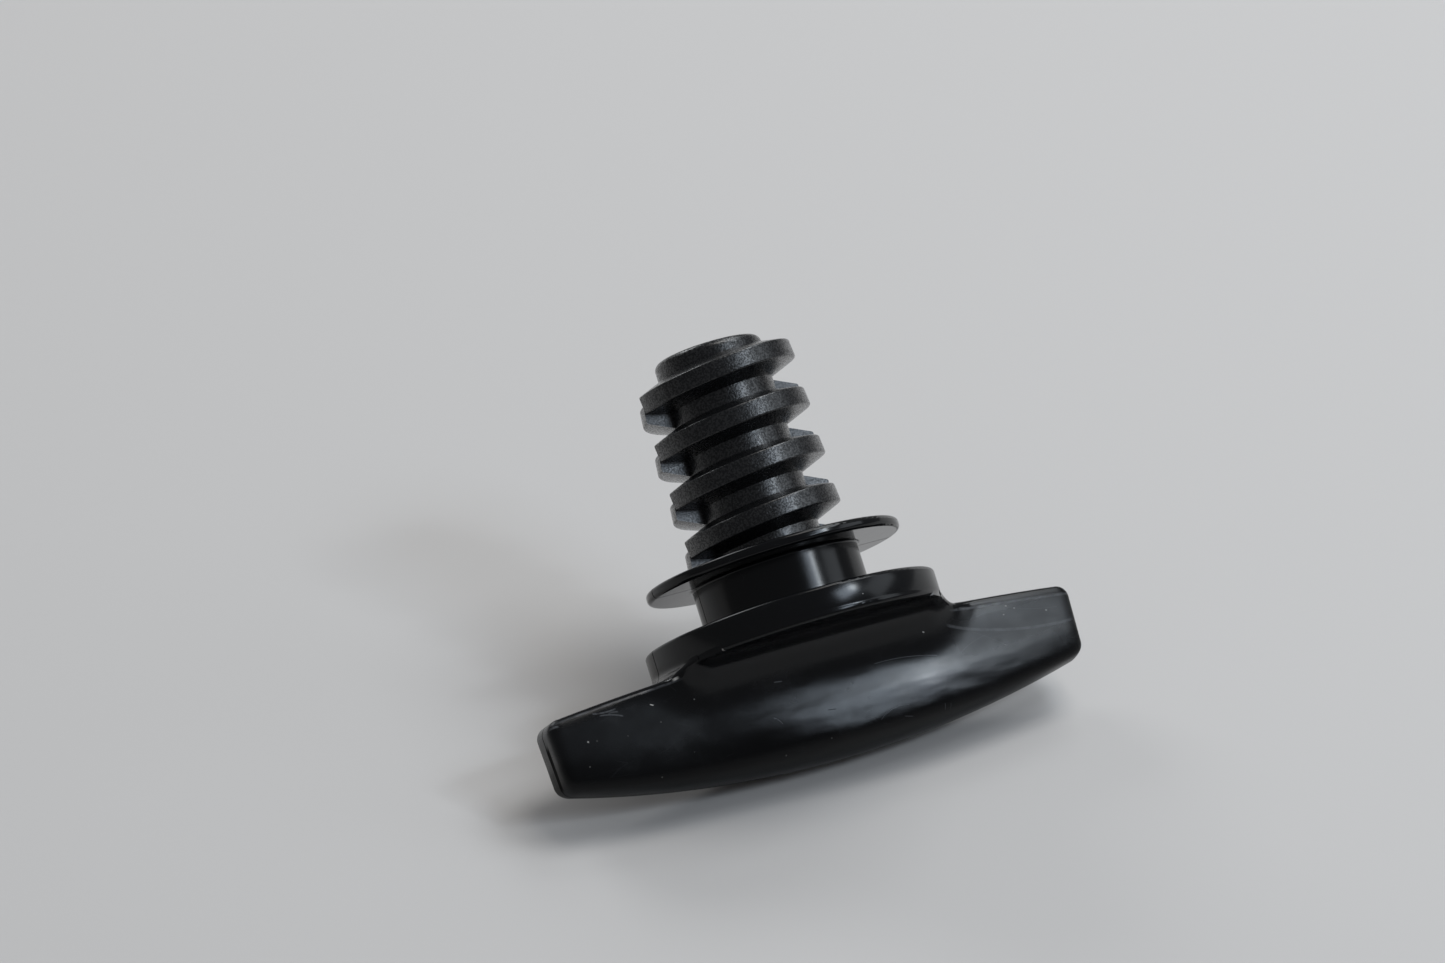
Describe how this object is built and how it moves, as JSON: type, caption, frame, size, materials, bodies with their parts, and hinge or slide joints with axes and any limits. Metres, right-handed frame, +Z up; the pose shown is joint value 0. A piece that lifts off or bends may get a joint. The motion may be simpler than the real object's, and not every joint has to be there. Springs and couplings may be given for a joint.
{
  "type": "screw plug",
  "caption": "One-piece moulded plastic screw plug: T-shaped grip bar, coved hub, round flange, neck with thin retaining disc, and coarse right-hand thread.",
  "frame": {"origin": "bottom centre of the box around the plug as it lies on the table", "axes": "+Z up from the table, X along the grip bar, thread pointing up and towards +Y, hub's open cove towards -Y"},
  "size_m": [0.0618, 0.0394, 0.0396],
  "materials": {
    "black_plastic": "satin moulding, finely grained on the thread"
  },
  "bodies": {
    "root": {"screw_plug": "black_plastic"}
  },
  "joints": []
}
